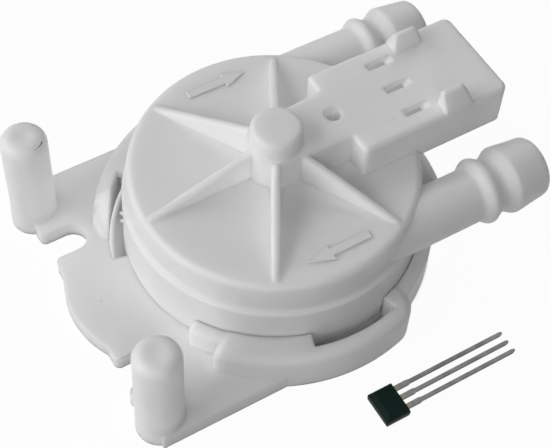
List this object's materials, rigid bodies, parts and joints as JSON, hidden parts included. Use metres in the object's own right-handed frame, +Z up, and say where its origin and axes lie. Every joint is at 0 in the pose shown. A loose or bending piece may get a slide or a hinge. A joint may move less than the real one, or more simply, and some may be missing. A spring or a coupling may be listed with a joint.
{
  "type": "water flow sensor",
  "caption": "Turbine water flow sensor: round two-piece moulded housing with hose barbs, sensor arm, mounting posts and an internal magnet wheel read by a Hall element.",
  "frame": {"origin": "on the turbine wheel's axis, at the underside of the base plate", "axes": "+Z up along the wheel's axis, +X along the hose barbs and the sensor arm, the inlet barb on the -Y side and the outlet barb on the +Y side"},
  "size_m": [0.0542, 0.0492, 0.0206],
  "materials": {
    "housing_plastic": "natural translucent white moulding, satin",
    "wheel_plastic": "natural white moulding",
    "seal_rubber": "black moulded rubber",
    "spindle_steel": "ground stainless steel",
    "bearing_plastic": "graphite filled plastic",
    "magnet_ferrite": "sintered ferrite",
    "element_plastic": "black moulded epoxy",
    "lead_metal": "dull tinned leads"
  },
  "bodies": {
    "root": {"upper_housing": "housing_plastic", "lower_housing": "housing_plastic", "housing_seal": "seal_rubber", "lower_bearing": "bearing_plastic", "upper_bearing": "bearing_plastic", "lower_thrust_washer": "spindle_steel", "upper_thrust_washer": "spindle_steel", "inlet_nozzle": "bearing_plastic", "hall_body": "element_plastic", "hall_lead_1": "lead_metal", "hall_lead_2": "lead_metal", "hall_lead_3": "lead_metal"},
    "rotor": {"turbine_rotor": "wheel_plastic", "rotor_shaft": "spindle_steel", "magnet_cover": "wheel_plastic", "rotor_magnet_1": "magnet_ferrite", "rotor_magnet_2": "magnet_ferrite", "rotor_magnet_3": "magnet_ferrite", "rotor_magnet_4": "magnet_ferrite"}
  },
  "joints": [
    {"name": "wheel_spin", "type": "hinge", "parent": "root", "child": "rotor", "pos_m": [0, 0, 0.008], "axis": [0, 0, 1], "continuous": true}
  ]
}
